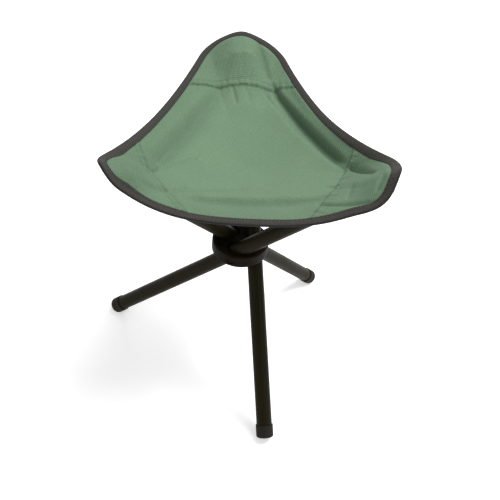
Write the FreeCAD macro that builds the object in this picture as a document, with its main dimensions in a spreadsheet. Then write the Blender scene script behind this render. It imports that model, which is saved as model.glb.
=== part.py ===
"""Folding tripod stool: three tubes cross in a round hub and carry a three-cornered cloth seat.

Frame: origin on the ground under the middle of the open stool's box, +Z up, millimetres.
Every sub-part is made round the hub's axis first; HUB_AT then puts that axis in its place in the frame.
Each tube passes the hub's axis at the side, pivots on a pin that points at the axis, and swings in its own plane.
Leg a stands towards -Y and holds the seat's corner at +Y; legs b and c are the same turned by 120 and 240 degrees.
"""
import FreeCAD, Part
import math
import os
import Sketcher

LEGS = ("a", "b", "c")
THIRD = 120.0

# Driving dimensions: alias, value, meaning. Lengths in millimetres, angles in degrees.
DIMENSIONS = [
    ("tilt", 43.5, "lean of each tube from upright when open"),
    ("pivot_offset", 14.2, "tube axis to hub axis"),
    ("tube_radius", 8.0, "outside radius of the leg tube"),
    ("tube_wall", 1.0, "wall of the leg tube"),
    ("lower_reach", 202.0, "pivot to the end of the foot cap"),
    ("upper_reach", 187.0, "pivot to the upper end of the tube"),
    ("hub_radius", 29.0, "outside radius of the hub"),
    ("hub_above", 7.0, "hub above the pivots"),
    ("hub_below", 8.0, "hub below the pivots"),
    ("hub_edge", 2.5, "rounding of the hub's rims"),
    ("slot_gap", 0.4, "play round a tube in its slot"),
    ("pin_radius", 2.5, "pivot pin"),
    ("pin_play", 0.08, "play of a tube on its pin"),
    ("pin_inner", 3.0, "inner end of the pin from the hub axis"),
    ("pin_head_radius", 4.5, "pin head"),
    ("pin_head_depth", 2.2, "pin head, sunk in the hub's wall"),
    ("foot_radius", 8.9, "outside radius of the foot cap"),
    ("foot_length", 13.0, "length of the foot cap outside"),
    ("foot_floor", 3.0, "rubber under the tube's end"),
    ("foot_edge", 2.0, "rounding of the foot cap's end"),
    ("top_cap_radius", 8.0, "head of the upper end cap"),
    ("top_cap_head", 3.0, "thickness of that head"),
    ("plug_length", 14.0, "how far a cap's plug enters the tube"),
    ("plug_wall", 1.6, "wall of a plug"),
    ("seat_inradius", 95.0, "seat centre to the middle of an edge, in plan"),
    ("seat_corner", 36.0, "rounding radius of a seat corner"),
    ("seat_centre", 250.0, "height of the middle of the seat"),
    ("seat_fold", 267.0, "height of the middle of a fold that joins two corners"),
    ("seat_kink", 270.0, "height of a fold's ends"),
    ("seat_edge", 273.0, "height of the middle of an edge"),
    ("seat_tip", 304.0, "height of a corner's rim"),
    ("fold_inradius", 67.0, "seat centre to a fold, in plan"),
    ("seam_radius", 101.0, "seat centre to a corner's seam, in plan"),
    ("seam_half", 20.0, "half of the seam's straight part"),
    ("cloth", 1.2, "thickness of the seat cloth with its coating"),
    ("cloth_gap", 0.5, "cloth to tube"),
    ("tape_width", 9.0, "edge tape on each face of the cloth"),
    ("tape_cloth", 0.9, "thickness of the edge tape"),
    ("pocket_depth", 56.0, "corner's rim to the pocket's mouth"),
    ("pocket_cloth", 1.0, "thickness of the pocket cloth"),
    ("pocket_gap", 1.2, "pocket cloth to seat cloth, away from the tube"),
    ("pocket_edge", 11.0, "pocket cloth to the seat's rim"),
    ("hub_x", 6.45, "hub axis from the middle of the open stool, along X"),
    ("hub_y", -4.3, "hub axis from the middle of the open stool, along Y"),
]


def make_sheet(doc):
    """The spreadsheet that every size is read from or bound to."""
    sheet = doc.addObject("Spreadsheet::Sheet", "Dimensions")
    for row, (alias, value, meaning) in enumerate(DIMENSIONS, start=1):
        sheet.set("A%d" % row, meaning)
        sheet.set("B%d" % row, str(value))
        sheet.setAlias("B%d" % row, alias)
    doc.recompute()
    return sheet


DOC = FreeCAD.newDocument("tripod_stool")
SHEET = make_sheet(DOC)


def size(alias):
    """A driving dimension as a plain number."""
    return float(SHEET.get(alias))


TILT = math.radians(size("tilt"))
FOOT_EDGE = size("foot_edge")
PIVOT_HEIGHT = (
    (size("lower_reach") - FOOT_EDGE) * math.cos(TILT)
    + (size("foot_radius") - FOOT_EDGE) * math.sin(TILT)
    + FOOT_EDGE
)
TIP_ALONG = size("upper_reach") * math.sin(TILT)
CORNER_AZIMUTH = 90.0 - math.degrees(math.atan2(size("pivot_offset"), TIP_ALONG))
HUB_AT = FreeCAD.Placement(FreeCAD.Vector(size("hub_x"), size("hub_y"), 0), FreeCAD.Rotation())


def bind(obj, **formulas):
    """Binds properties of an object to formulas in the sheet's aliases."""
    for prop, formula in formulas.items():
        obj.setExpression(prop, formula)


def D(alias):
    """An alias as it is written inside a formula."""
    return "Dimensions." + alias


def origin_plane(body, role):
    """One of a body's own origin planes."""
    for feature in body.Origin.OriginFeatures:
        if feature.Role == role:
            return feature
    raise ValueError(role)


def new_body(label):
    body = DOC.addObject("PartDesign::Body", label)
    body.Label = label
    return body


def sketch_on(body, name, role):
    """An empty sketch on one of the body's origin planes."""
    sketch = body.newObject("Sketcher::SketchObject", name)
    sketch.AttachmentSupport = (origin_plane(body, role), [""])
    sketch.MapMode = "FlatFace"
    return sketch


def circle(sketch, radius_formula):
    """A circle round the sketch's origin with a bound radius."""
    centre = FreeCAD.Vector(0, 0, 0)
    index = sketch.addGeometry(Part.Circle(centre, FreeCAD.Vector(0, 0, 1), 5.0))
    sketch.addConstraint(Sketcher.Constraint("Coincident", index, 3, -1, 1))
    radius = sketch.addConstraint(Sketcher.Constraint("Radius", index, 5.0))
    sketch.setExpression("Constraints[%d]" % radius, radius_formula)


def pad(body, sketch, name, length, reverse=False):
    feature = body.newObject("PartDesign::Pad", name)
    feature.Profile = sketch
    feature.setExpression("Length", length)
    feature.Reversed = reverse
    return feature


def leg_placement(index, along=0.0):
    """The frame of a leg: its origin at the pivot moved along the tube, +Z up the tube, +X along the pin outwards."""
    turn = FreeCAD.Rotation(FreeCAD.Vector(0, 0, 1), THIRD * index)
    lean = FreeCAD.Rotation(FreeCAD.Vector(1, 0, 0), -size("tilt"))
    rotation = turn.multiply(lean)
    pivot = turn.multVec(FreeCAD.Vector(size("pivot_offset"), 0, 0))
    pivot.z = PIVOT_HEIGHT
    return FreeCAD.Placement(pivot + rotation.multVec(FreeCAD.Vector(0, 0, along)), rotation)


def hub_placement(index):
    """The frame of a pin or slot: origin on the hub axis at the pivots' height, +X along the pin outwards."""
    turn = FreeCAD.Rotation(FreeCAD.Vector(0, 0, 1), THIRD * index)
    return FreeCAD.Placement(FreeCAD.Vector(0, 0, PIVOT_HEIGHT), turn)


# ---------------------------------------------------------------- legs


def leg_tube(index):
    """A straight steel tube with a cross hole at the pivot. Its body frame starts at the tube's lower end."""
    body = new_body("leg_tube_" + LEGS[index])
    ring = sketch_on(body, "section_" + body.Label, "XY_Plane")
    circle(ring, D("tube_radius"))
    circle(ring, "%s - %s" % (D("tube_radius"), D("tube_wall")))
    lower = "(%s - %s)" % (D("lower_reach"), D("foot_floor"))
    pad(body, ring, "wall_" + body.Label, "%s + %s" % (lower, D("upper_reach")))
    hole = sketch_on(body, "pivot_" + body.Label, "YZ_Plane")
    spot = hole.addGeometry(Part.Circle(FreeCAD.Vector(0, 100, 0), FreeCAD.Vector(0, 0, 1), 2.0))
    hole.addConstraint(Sketcher.Constraint("DistanceX", -1, 1, spot, 3, 0.0))
    rise = hole.addConstraint(Sketcher.Constraint("DistanceY", -1, 1, spot, 3, 100.0))
    radius = hole.addConstraint(Sketcher.Constraint("Radius", spot, 2.0))
    hole.setExpression("Constraints[%d]" % rise, lower)
    hole.setExpression("Constraints[%d]" % radius, "%s + %s" % (D("pin_radius"), D("pin_play")))
    cut = body.newObject("PartDesign::Pocket", "pivot_hole_" + body.Label)
    cut.Profile = hole
    cut.Type = 1
    cut.Midplane = True
    DOC.recompute()
    body.Placement = leg_placement(index, size("foot_floor") - size("lower_reach"))
    return body


def revolved(label, points, placement):
    """A body turned round its Z axis from a closed profile of (radius, height) corners."""
    body = new_body(label)
    sketch = sketch_on(body, "profile_" + label, "XZ_Plane")
    count = len(points)
    for number in range(count):
        start = FreeCAD.Vector(*points[number], 0)
        end = FreeCAD.Vector(*points[(number + 1) % count], 0)
        sketch.addGeometry(Part.LineSegment(start, end))
    for number in range(count):
        sketch.addConstraint(Sketcher.Constraint("Coincident", number, 2, (number + 1) % count, 1))
        sketch.addConstraint(Sketcher.Constraint("Block", number))
    turned = body.newObject("PartDesign::Revolution", "turned_" + label)
    turned.Profile = sketch
    turned.ReferenceAxis = (sketch, ["V_Axis"])
    turned.Angle = 360
    DOC.recompute()
    body.Placement = placement
    return body


def round_edge(body, radius_formula, height, radius):
    """Rounds the circular edge of a turned body at that height and radius."""
    tip = body.Tip
    for number, edge in enumerate(tip.Shape.Edges, start=1):
        curve = edge.Curve
        if isinstance(curve, Part.Circle) and abs(curve.Radius - radius) < 1e-3:
            if abs(curve.Center.z - height) < 1e-3:
                fillet = body.newObject("PartDesign::Fillet", "rounded_" + body.Label)
                fillet.Base = (tip, ["Edge%d" % number])
                fillet.setExpression("Radius", radius_formula)
                DOC.recompute()
                return fillet
    raise ValueError("no edge at %s, %s" % (radius, height))


def foot_cap(index):
    """A rubber cap: a cup over the tube's lower end with a hollow plug inside the tube."""
    tube = size("tube_radius")
    bore = tube - size("tube_wall")
    floor = size("foot_floor")
    top = size("foot_length")
    plug = floor + size("plug_length")
    inner = bore - size("plug_wall")
    outer = size("foot_radius")
    profile = [
        (0, 0), (outer, 0), (outer, top), (tube, top), (tube, floor),
        (bore, floor), (bore, plug), (inner, plug), (inner, floor), (0, floor),
    ]
    body = revolved("foot_cap_" + LEGS[index], profile, FreeCAD.Placement())
    round_edge(body, D("foot_edge"), 0.0, outer)
    body.Placement = leg_placement(index, -size("lower_reach"))
    return body


def top_cap(index):
    """A plastic plug with a domed head that keeps the tube's upper end from cutting the cloth."""
    bore = size("tube_radius") - size("tube_wall")
    inner = bore - size("plug_wall")
    head = size("top_cap_head")
    depth = -size("plug_length")
    outer = size("top_cap_radius")
    profile = [
        (0, 0), (inner, 0), (inner, depth), (bore, depth), (bore, 0), (outer, 0), (outer, head), (0, head),
    ]
    body = revolved("top_cap_" + LEGS[index], profile, FreeCAD.Placement())
    round_edge(body, "%s * 0.7" % D("top_cap_head"), head, outer)
    body.Placement = leg_placement(index, size("upper_reach"))
    return body


# ---------------------------------------------------------------- hub


def cylinder(label, radius, height):
    shape = DOC.addObject("Part::Cylinder", label)
    bind(shape, Radius=radius, Height=height)
    return shape


def slot_tool(index):
    """What a tube sweeps through the hub between open and folded: two bores and the wedge between them."""
    name = LEGS[index]
    radius = "%s + %s" % (D("tube_radius"), D("slot_gap"))
    length = 3.0 * size("hub_radius")
    frame = hub_placement(index)
    pivot = frame.multiply(FreeCAD.Placement(FreeCAD.Vector(size("pivot_offset"), 0, 0), FreeCAD.Rotation()))
    bores = []
    for lean in (0.0, -size("tilt")):
        bore = DOC.addObject("Part::Cylinder", "bore_%s_%d" % (name, len(bores)))
        bind(bore, Radius=radius)
        bore.Height = length
        turned = FreeCAD.Rotation(FreeCAD.Vector(1, 0, 0), lean)
        start = turned.multVec(FreeCAD.Vector(0, 0, -length / 2))
        bore.Placement = pivot.multiply(FreeCAD.Placement(start, turned))
        bores.append(bore)
    reach = length / 2
    waist = size("slot_gap")
    far = reach * math.tan(TILT)
    corners = [(0, reach), (far, reach), (waist, 0), (0, -reach), (-far, -reach), (-waist, 0)]
    width = size("tube_radius") + size("slot_gap")
    points = [FreeCAD.Vector(-width, along, up) for along, up in corners]
    wedge = DOC.addObject("Part::Feature", "wedge_" + name)
    outline = Part.Face(Part.makePolygon(points + points[:1]))
    wedge.Shape = outline.extrude(FreeCAD.Vector(2 * width, 0, 0))
    wedge.Placement = pivot
    return bores + [wedge]


def pin_bore(index):
    """The hole for a pivot pin and the counterbore for its head, cut out of the hub."""
    name = LEGS[index]
    frame = hub_placement(index)
    along_x = FreeCAD.Rotation(FreeCAD.Vector(0, 1, 0), 90)
    shank = cylinder("pin_bore_" + name, D("pin_radius"), "%s + 1" % D("hub_radius"))
    shank.Placement = frame.multiply(FreeCAD.Placement(FreeCAD.Vector(size("pin_inner"), 0, 0), along_x))
    seat = cylinder("head_bore_" + name, D("pin_head_radius"), "%s + 1" % D("pin_head_depth"))
    start = size("hub_radius") - size("pin_head_depth")
    seat.Placement = frame.multiply(FreeCAD.Placement(FreeCAD.Vector(start, 0, 0), along_x))
    return [shank, seat]


def hub_body():
    """A moulded disc with a rounded rim, a dished top, three fan-shaped slots and three pin holes."""
    disc = new_body("hub_disc")
    profile = sketch_on(disc, "profile_hub", "XY_Plane")
    circle(profile, D("hub_radius"))
    pad(disc, profile, "disc_hub", "%s + %s" % (D("hub_above"), D("hub_below")))
    DOC.recompute()
    tip = disc.Tip
    rims = ["Edge%d" % n for n, e in enumerate(tip.Shape.Edges, start=1) if isinstance(e.Curve, Part.Circle)]
    fillet = disc.newObject("PartDesign::Fillet", "rims_hub")
    fillet.Base = (tip, rims)
    fillet.setExpression("Radius", D("hub_edge"))
    dish = sketch_on(disc, "dish_hub", "XY_Plane")
    circle(dish, "%s - 2 * %s" % (D("hub_radius"), D("hub_edge")))
    dish.AttachmentOffset = FreeCAD.Placement(
        FreeCAD.Vector(0, 0, size("hub_above") + size("hub_below")), FreeCAD.Rotation()
    )
    cut = disc.newObject("PartDesign::Pocket", "dished_hub")
    cut.Profile = dish
    cut.Length = 1.2
    DOC.recompute()
    disc.Placement = FreeCAD.Placement(FreeCAD.Vector(0, 0, PIVOT_HEIGHT - size("hub_below")), FreeCAD.Rotation())
    tools = DOC.addObject("Part::MultiFuse", "hub_tools")
    tools.Shapes = [tool for index in range(3) for tool in slot_tool(index) + pin_bore(index)]
    hub = DOC.addObject("Part::Cut", "hub_body")
    hub.Base = disc
    hub.Tool = tools
    hub.Label = "hub_body"
    return hub


def pivot_pin(index):
    """A headed steel pin from the hub's wall, through the tube, into the hub's core."""
    inner = size("pin_inner")
    head_start = size("hub_radius") - size("pin_head_depth")
    head_end = head_start + size("pin_head_depth") - 1.0
    shank = size("pin_radius")
    head = size("pin_head_radius")
    profile = [(0, inner), (shank, inner), (shank, head_start), (head, head_start), (head, head_end), (0, head_end)]
    along_x = FreeCAD.Placement(FreeCAD.Vector(0, 0, 0), FreeCAD.Rotation(FreeCAD.Vector(0, 1, 0), 90))
    body = revolved("pivot_pin_" + LEGS[index], profile, FreeCAD.Placement())
    body.Placement = hub_placement(index).multiply(along_x)
    return body


# ---------------------------------------------------------------- seat


def smooth(value):
    """0 below 0, 1 above 1, and a smooth rise between."""
    value = min(max(value, 0.0), 1.0)
    return value * value * (3.0 - 2.0 * value)


def corner_frame(x, y, index):
    """(along, across) of a point in the frame of a seat corner."""
    azimuth = math.radians(CORNER_AZIMUTH + THIRD * index)
    cos, sin = math.cos(azimuth), math.sin(azimuth)
    return x * cos + y * sin, y * cos - x * sin


def tube_frame(x, y, index):
    """(run, aside) of a point: along a tube's run in plan from its pivot, and square to it."""
    turn = math.radians(THIRD * index)
    cos, sin = math.cos(turn), math.sin(turn)
    return y * cos - x * sin, x * cos + y * sin - size("pivot_offset")


TUBE_RISE = 1.0 / math.tan(TILT)
TUBE_TOP = PIVOT_HEIGHT + size("tube_radius") / math.sin(TILT)
TIP_RADIUS = math.hypot(size("pivot_offset"), TIP_ALONG)
CORNER_REACH = 2 * (size("seat_inradius") - size("seat_corner"))
RIM_RADIUS = CORNER_REACH + size("seat_corner")
EDGE_END = size("tube_radius") * math.cos(TILT)
RUN_END = TIP_ALONG - EDGE_END + size("top_cap_head") * math.sin(TILT)
CLEAR = size("cloth_gap") + 1.5


def ridge(run):
    """Height of the cloth over a tube's middle line: up the tube, over its end, then out to the rim."""
    over = TUBE_TOP + RUN_END * TUBE_RISE + CLEAR
    if run < RUN_END:
        return over - (RUN_END - run) * TUBE_RISE
    share = min((run - RUN_END) / (RIM_RADIUS - RUN_END), 1.0)
    return over + (size("seat_tip") - over) * math.sin(share * math.pi / 2)


def rim(turn):
    """(radius, height) of the seat's rim in a direction given by its angle from the nearest corner."""
    inradius = size("seat_inradius")
    radius = size("seat_corner")
    tip = CORNER_REACH + radius
    straight = CORNER_REACH * math.sin(math.radians(60))
    reach = inradius / math.cos(math.radians(60) - turn)
    along_edge = reach * math.sin(math.radians(60) - turn)
    if along_edge > straight:
        reach = CORNER_REACH * math.cos(turn) + math.sqrt(radius ** 2 - (CORNER_REACH * math.sin(turn)) ** 2)
        ahead = math.acos((reach * math.cos(turn) - CORNER_REACH) / radius)
        along_edge = straight + radius * (math.radians(60) - ahead)
    whole = straight + radius * math.radians(60)
    height = size("seat_edge") + (size("seat_tip") - size("seat_edge")) * (along_edge / whole) ** 1.5
    return min(reach, tip), height


def fold(turn):
    """(radius, height) of the line where the flat middle of the seat ends: three folds and three seams."""
    seam = size("seam_radius")
    kink = math.atan2(size("seam_half"), seam)
    if turn < kink:
        share = turn / kink
        return seam / math.cos(turn), ridge(seam) - (ridge(seam) - size("seat_kink")) * share ** 2
    share = smooth((math.radians(60) - turn) / (math.radians(60) - kink)) ** 2
    reach = size("fold_inradius") / math.cos(math.radians(60) - turn)
    return reach, size("seat_fold") + (size("seat_kink") - size("seat_fold")) * share


def seat_height(x, y):
    """Underside of the seat cloth over a point in plan."""
    index = max(range(3), key=lambda k: corner_frame(x, y, k)[0])
    along, across = corner_frame(x, y, index)
    reach = math.hypot(along, across)
    turn = min(math.atan2(abs(across), along), math.radians(60)) if reach > 0 else 0.0
    rim_reach, rim_height = rim(turn)
    fold_reach, fold_height = fold(turn)
    centre = size("seat_centre")
    if reach < fold_reach:
        height = centre + (fold_height - centre) * (reach / fold_reach) ** 1.6
    else:
        share = min((reach - fold_reach) / (rim_reach - fold_reach), 1.5)
        height = fold_height + (rim_height - fold_height) * share
    run, aside = tube_frame(x, y, index)
    lap = math.exp(-(aside / 14.0) ** 2) * smooth((run - 70.0) / 25.0)
    return height + max(ridge(run) - height, 0.0) * lap


def grid_surface(height, x_range, y_range, step):
    """A smooth surface through height(x, y) on a regular grid."""
    rows = int(round((x_range[1] - x_range[0]) / step)) + 1
    columns = int(round((y_range[1] - y_range[0]) / step)) + 1
    grid = []
    for row in range(rows):
        x = x_range[0] + row * step
        line = []
        for column in range(columns):
            y = y_range[0] + column * step
            line.append(FreeCAD.Vector(x, y, height(x, y)))
        grid.append(line)
    surface = Part.BSplineSurface()
    surface.interpolate(grid)
    return surface.toShape()


def rounded_triangle(inset):
    """The seat's outline in plan, moved inwards by inset: straight sides and round corners, at z = 0."""
    inradius = size("seat_inradius") - inset
    radius = size("seat_corner") - inset
    centre = 2 * (inradius - radius)
    edges = []
    ends = []
    for index in range(3):
        azimuth = math.radians(CORNER_AZIMUTH + THIRD * index)
        middle = FreeCAD.Vector(centre * math.cos(azimuth), centre * math.sin(azimuth), 0)
        arc = []
        for turn in (-60, 0, 60):
            angle = azimuth + math.radians(turn)
            arc.append(middle + FreeCAD.Vector(radius * math.cos(angle), radius * math.sin(angle), 0))
        edges.append(Part.Arc(*arc).toShape())
        ends.append((arc[0], arc[2]))
    for index in range(3):
        start = ends[index][1]
        finish = ends[(index + 1) % 3][0]
        edges.append(Part.LineSegment(start, finish).toShape())
    return Part.Face(Part.Wire(Part.__sortEdges__(edges)))


def prism(face, low=200.0, high=330.0):
    """A plan face as an upright block that takes in the whole seat."""
    block = face.copy()
    block.translate(FreeCAD.Vector(0, 0, low))
    return block.extrude(FreeCAD.Vector(0, 0, high - low))


SEAT_REACH = 160.0
SEAT_STEP = 6.4
POCKET_STEP = 4.0
SEAT_FACE = grid_surface(seat_height, (-SEAT_REACH, SEAT_REACH), (-SEAT_REACH, SEAT_REACH), SEAT_STEP)


def seat_layer(bottom, top):
    """The space between two levels over the underside of the seat cloth."""
    face = SEAT_FACE.copy()
    face.translate(FreeCAD.Vector(0, 0, bottom))
    return face.extrude(FreeCAD.Vector(0, 0, top - bottom))


def feature(label, shape):
    """A sub-part whose shape comes from Part's own functions."""
    obj = DOC.addObject("Part::Feature", label)
    obj.Label = label
    obj.Shape = shape
    return obj


def seat_panel():
    """The cloth seat: a three-cornered panel that sags in the middle and rides up the tubes at its corners."""
    inset = size("tape_cloth")
    return feature("seat_panel", seat_layer(0, size("cloth")).common(prism(rounded_triangle(inset))))


def edge_tapes(panel):
    """Three lengths of folded tape round the edge of the seat, one to a side, meeting at the corners."""
    tape = size("tape_cloth")
    ring = prism(rounded_triangle(0)).cut(prism(rounded_triangle(size("tape_width"))))
    band = seat_layer(-tape, size("cloth") + tape).common(ring).cut(panel.Shape)
    made = []
    for index in range(3):
        far = 2 * RIM_RADIUS
        points = [FreeCAD.Vector(0, 0, 0)]
        for turn in (0, 60, THIRD):
            angle = math.radians(CORNER_AZIMUTH + THIRD * index + turn)
            points.append(FreeCAD.Vector(far * math.cos(angle), far * math.sin(angle), 0))
        third = prism(Part.Face(Part.makePolygon(points + points[:1])))
        name = "edge_tape_" + LEGS[index] + LEGS[(index + 1) % 3]
        made.append(feature(name, band.common(third)))
    return made


def pocket_height(index):
    """The underside of a corner pocket's cloth: slung under the tube and up to the seat round its rim."""
    drop = 2 * size("tube_radius") / math.sin(TILT) + 2 * size("cloth_gap") + size("pocket_cloth") + 1.0
    close = RIM_RADIUS - size("pocket_edge") - 2.0

    def height(x, y):
        under = seat_height(x, y) - size("pocket_gap") - size("pocket_cloth")
        run, aside = tube_frame(x, y, index)
        slung = TUBE_TOP + run * TUBE_RISE - drop
        end = RUN_END + 2 * EDGE_END
        floor = TUBE_TOP + min(run, end) * TUBE_RISE - drop
        beyond = smooth((run - end) / (close - end))
        slung = floor + (under - floor) * beyond
        spread = smooth((abs(aside) - 9.5) / 20.0)
        return min(slung + (under - slung) * spread, under)
    return height


def corner_pocket(index):
    """The cloth patch under a corner that makes the pocket for the tube's end."""
    height = pocket_height(index)
    azimuth = CORNER_AZIMUTH + THIRD * index
    cos, sin = math.cos(math.radians(azimuth)), math.sin(math.radians(azimuth))

    def local_height(along, across):
        return height(along * cos - across * sin, along * sin + across * cos)

    mouth = RIM_RADIUS - size("pocket_depth")
    face = grid_surface(local_height, (mouth - 8.0, RIM_RADIUS + 6.0), (-72.0, 72.0), POCKET_STEP)
    layer = face.extrude(FreeCAD.Vector(0, 0, size("pocket_cloth")))
    layer.rotate(FreeCAD.Vector(0, 0, 0), FreeCAD.Vector(0, 0, 1), azimuth)
    half = Part.makeBox(RIM_RADIUS, 2 * RIM_RADIUS, 130.0, FreeCAD.Vector(mouth, -RIM_RADIUS, 200.0))
    half.rotate(FreeCAD.Vector(0, 0, 0), FreeCAD.Vector(0, 0, 1), azimuth)
    plan = prism(rounded_triangle(size("pocket_edge"))).common(half)
    return feature("corner_pocket_" + LEGS[index], layer.common(plan))


# ---------------------------------------------------------------- the whole stool


def build():
    """Every sub-part, in the order of assembly."""
    parts = [hub_body()]
    for index in range(3):
        parts += [leg_tube(index), foot_cap(index), top_cap(index), pivot_pin(index)]
    panel = seat_panel()
    parts.append(panel)
    parts += edge_tapes(panel)
    parts += [corner_pocket(index) for index in range(3)]
    DOC.recompute()
    for part in parts:
        part.Placement = HUB_AT.multiply(part.Placement)
    DOC.recompute()
    return parts


def check(parts):
    """Stops if any object failed or any sub-part is empty or broken."""
    for obj in DOC.Objects:
        if "Invalid" in obj.State or "Error" in obj.State:
            raise RuntimeError("%s failed: %s" % (obj.Label, obj.State))
    for part in parts:
        if part.Shape.isNull() or not part.Shape.isValid() or part.Shape.Volume <= 0:
            raise RuntimeError("%s has no sound shape" % part.Label)


def main():
    parts = build()
    check(parts)
    os.makedirs("parts", exist_ok=True)
    for part in parts:
        box = part.Shape.BoundBox
        part.Shape.exportStep(os.path.join("parts", part.Label + ".step"))
        print("%-18s solids %d  volume %9.1f  z %7.2f to %7.2f" % (
            part.Label, len(part.Shape.Solids), part.Shape.Volume, box.ZMin, box.ZMax))
    print("pivot height %.3f, corner azimuth %.3f, tip radius %.2f, rim radius %.2f" % (
        PIVOT_HEIGHT, CORNER_AZIMUTH, TIP_RADIUS, RIM_RADIUS))


main()
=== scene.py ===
import math

import bpy
import numpy as np
from mathutils import Matrix, Vector


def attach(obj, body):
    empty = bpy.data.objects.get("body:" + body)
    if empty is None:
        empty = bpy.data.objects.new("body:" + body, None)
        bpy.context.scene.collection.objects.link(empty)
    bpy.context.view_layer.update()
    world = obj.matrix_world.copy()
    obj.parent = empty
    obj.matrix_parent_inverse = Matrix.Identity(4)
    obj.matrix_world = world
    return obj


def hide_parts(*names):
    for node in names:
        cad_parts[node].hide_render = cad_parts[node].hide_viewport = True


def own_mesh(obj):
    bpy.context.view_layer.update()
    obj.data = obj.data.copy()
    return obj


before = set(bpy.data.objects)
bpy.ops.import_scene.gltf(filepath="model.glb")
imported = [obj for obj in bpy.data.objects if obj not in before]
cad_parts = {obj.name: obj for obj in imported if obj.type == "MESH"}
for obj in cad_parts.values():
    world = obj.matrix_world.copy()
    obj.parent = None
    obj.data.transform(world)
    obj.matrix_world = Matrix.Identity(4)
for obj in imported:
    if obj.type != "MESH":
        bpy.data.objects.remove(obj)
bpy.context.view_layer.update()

# A folding tripod stool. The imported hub, tubes, caps, feet and pins keep their shapes and get materials.
# The seat cloth, its edge tape, its stitches and the corner pockets are made here.
# Soft shapes are worked out in millimetres round the hub's axis, and add_mesh() places them in metres.
# Corners are numbered like the legs: 0 (a) at the back, 1 (b) at the left and 2 (c) at the right.
# A side is named after the corners that it joins: 0 is ab at the left, 1 is bc in front, 2 is ca at the right.

MM = 0.001
TURN = 2 * math.pi
HUB_AT = np.array([6.45, -4.3, 0.0])
LEGS = ("a", "b", "c")
THIRD = 120.0
HALF_CORNER = math.radians(60)

# ---------------------------------------------------------------- sizes shared with the CAD
TILT = math.radians(43.5)
PIVOT_OFFSET = 14.2
PIVOT_HEIGHT = 151.825
TUBE_RADIUS = 8.0
UPPER_REACH = 187.0
CAP_HEAD = 3.0
TIP_RUN = UPPER_REACH * math.sin(TILT)
TIP_AZIMUTH = 90.0 - math.degrees(math.atan2(PIVOT_OFFSET, TIP_RUN))
TIP_RADIUS = math.hypot(TIP_RUN, PIVOT_OFFSET)
TUBE_RISE = 1.0 / math.tan(TILT)
TUBE_TOP = PIVOT_HEIGHT + TUBE_RADIUS / math.sin(TILT)
RUN_END = TIP_RUN - TUBE_RADIUS * math.cos(TILT) + CAP_HEAD * math.sin(TILT)

# ---------------------------------------------------------------- the seat as it hangs
# One value to a corner, or to a side where the name says SIDE or FOLD.
CORNER_REACH = (162.0, 148.0, 139.3)
CORNER_ROUND = (48.0, 22.0, 38.0)
CORNER_SWING = (0.4, 0.4, -4.0)
CORNER_HEIGHT = (303.0, 308.0, 310.5)
SIDE_BOW = (1.1, -4.6, 4.5)
SIDE_HEIGHT = (279.5, 262.5, 279.0)
SIDE_CURL = (2.0, 3.2, 1.75)
SEAM_AT = (102.0, 95.0, 88.0)
SEAM_BOW = (0.0033, 0.0012, 0.0012)
SEAM_HEIGHT = (275.5, 268.5, 266.0)
# Painted shade along each corner's seam, where the step of the doubled cloth casts a shadow line.
SEAM_SHADE = (0.72, 0.42, 0.36)
KINK_LEFT = (25.0, 15.0, 22.0)
KINK_RIGHT = (26.0, 20.0, 10.0)
KINK_HEIGHT = (272.0, 267.0, 266.0)
FOLD_HEIGHT = (268.0, 261.0, 266.0)
CENTRE_HEIGHT = 249.0

# The rim bulges over tube c's end: direction in degrees, spread, way out and way down.
PUSH_AT, PUSH_SPREAD, PUSH_OUT, PUSH_DOWN = 312.5, 6.0, 4.0, 2.5

# How many times the rim's and the folds' radii and heights are smoothed.
RIM_R_PASSES, RIM_Z_PASSES, FOLD_R_PASSES, FOLD_Z_PASSES = 12, 110, 6, 30

# The cloth laps over a tube: reach to the right and left of it, and where along the tube it starts.
LAP_REACH = ((25.0, 14.0), (17.0, 17.0), (15.0, 17.0))
LAP_FROM, LAP_GROWS, LAP_RIM = 78.0, 22.0, 20.0
LAP_GAP, LAP_RISE, LAP_RUN = 1.6, 6.0, 30.0

# Nothing of the cloth lies lower than this over a tube and its cap.
GUARD_GAP, GUARD_FROM, GUARD_PAST, GUARD_FALL = 1.7, 40.0, 16.0, 0.9

# Thickness of the cloth, and how far its edge lies inside the rim, within the tape.
CLOTH = 1.0
RIM_INSET = 0.8

# Way in from the rim where folds and the doubled cloth start, and the way over which they grow.
FOLDS_FROM, FOLDS_GROW = 2.0, 9.0
HEM_FROM, HEM_GROWS = 5.0, 7.0

# Heights of the step where the cloth is doubled, the puckers along a seam, its grooves and the unevenness.
HEM_STEP, PUCKER, GROOVE, UNEVEN = 1.3, 0.5, 0.35, 0.22

# How much painted shade darkens the cloth near the rim, and in the groove along the outer row of stitches.
RIM_SHADE, STITCH_SHADE = 0.16, 0.22

# Two rows of stitches across each corner: way beyond the seam's line, and width of the groove they pull.
STITCH_ROWS = ((1.6, 0.8), (5.0, 1.0))

# The tape's visible width along each side and at the corners.
TAPE_WIDTH = (6.4, 7.6, 6.4)
TAPE_CORNER = 7.3
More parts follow.
